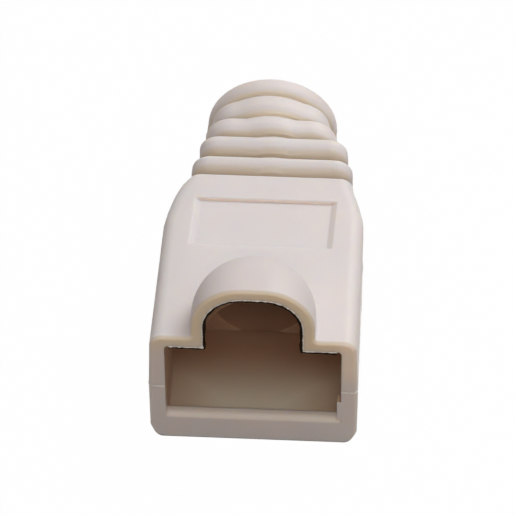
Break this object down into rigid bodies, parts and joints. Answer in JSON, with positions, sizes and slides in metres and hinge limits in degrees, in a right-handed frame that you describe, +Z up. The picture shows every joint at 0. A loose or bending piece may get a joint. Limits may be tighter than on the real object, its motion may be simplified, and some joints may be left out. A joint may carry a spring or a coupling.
{
  "type": "rj45 strain relief boot",
  "caption": "Slip-on moulded PVC boot for a modular network plug, with a latch hood, a label recess and a ribbed tail that guards the cable's bend.",
  "frame": {"origin": "centre of the bounding box's underside, on the surface that the boot stands on", "axes": "+Z up through the latch hood, +Y from the mouth towards the cable's tail, +X to the right when looking into the tail direction from the mouth"},
  "size_m": [0.0138, 0.0262, 0.0137],
  "materials": {
    "pvc": "satin moulded PVC"
  },
  "bodies": {
    "root": {"boot": "pvc"}
  },
  "joints": []
}
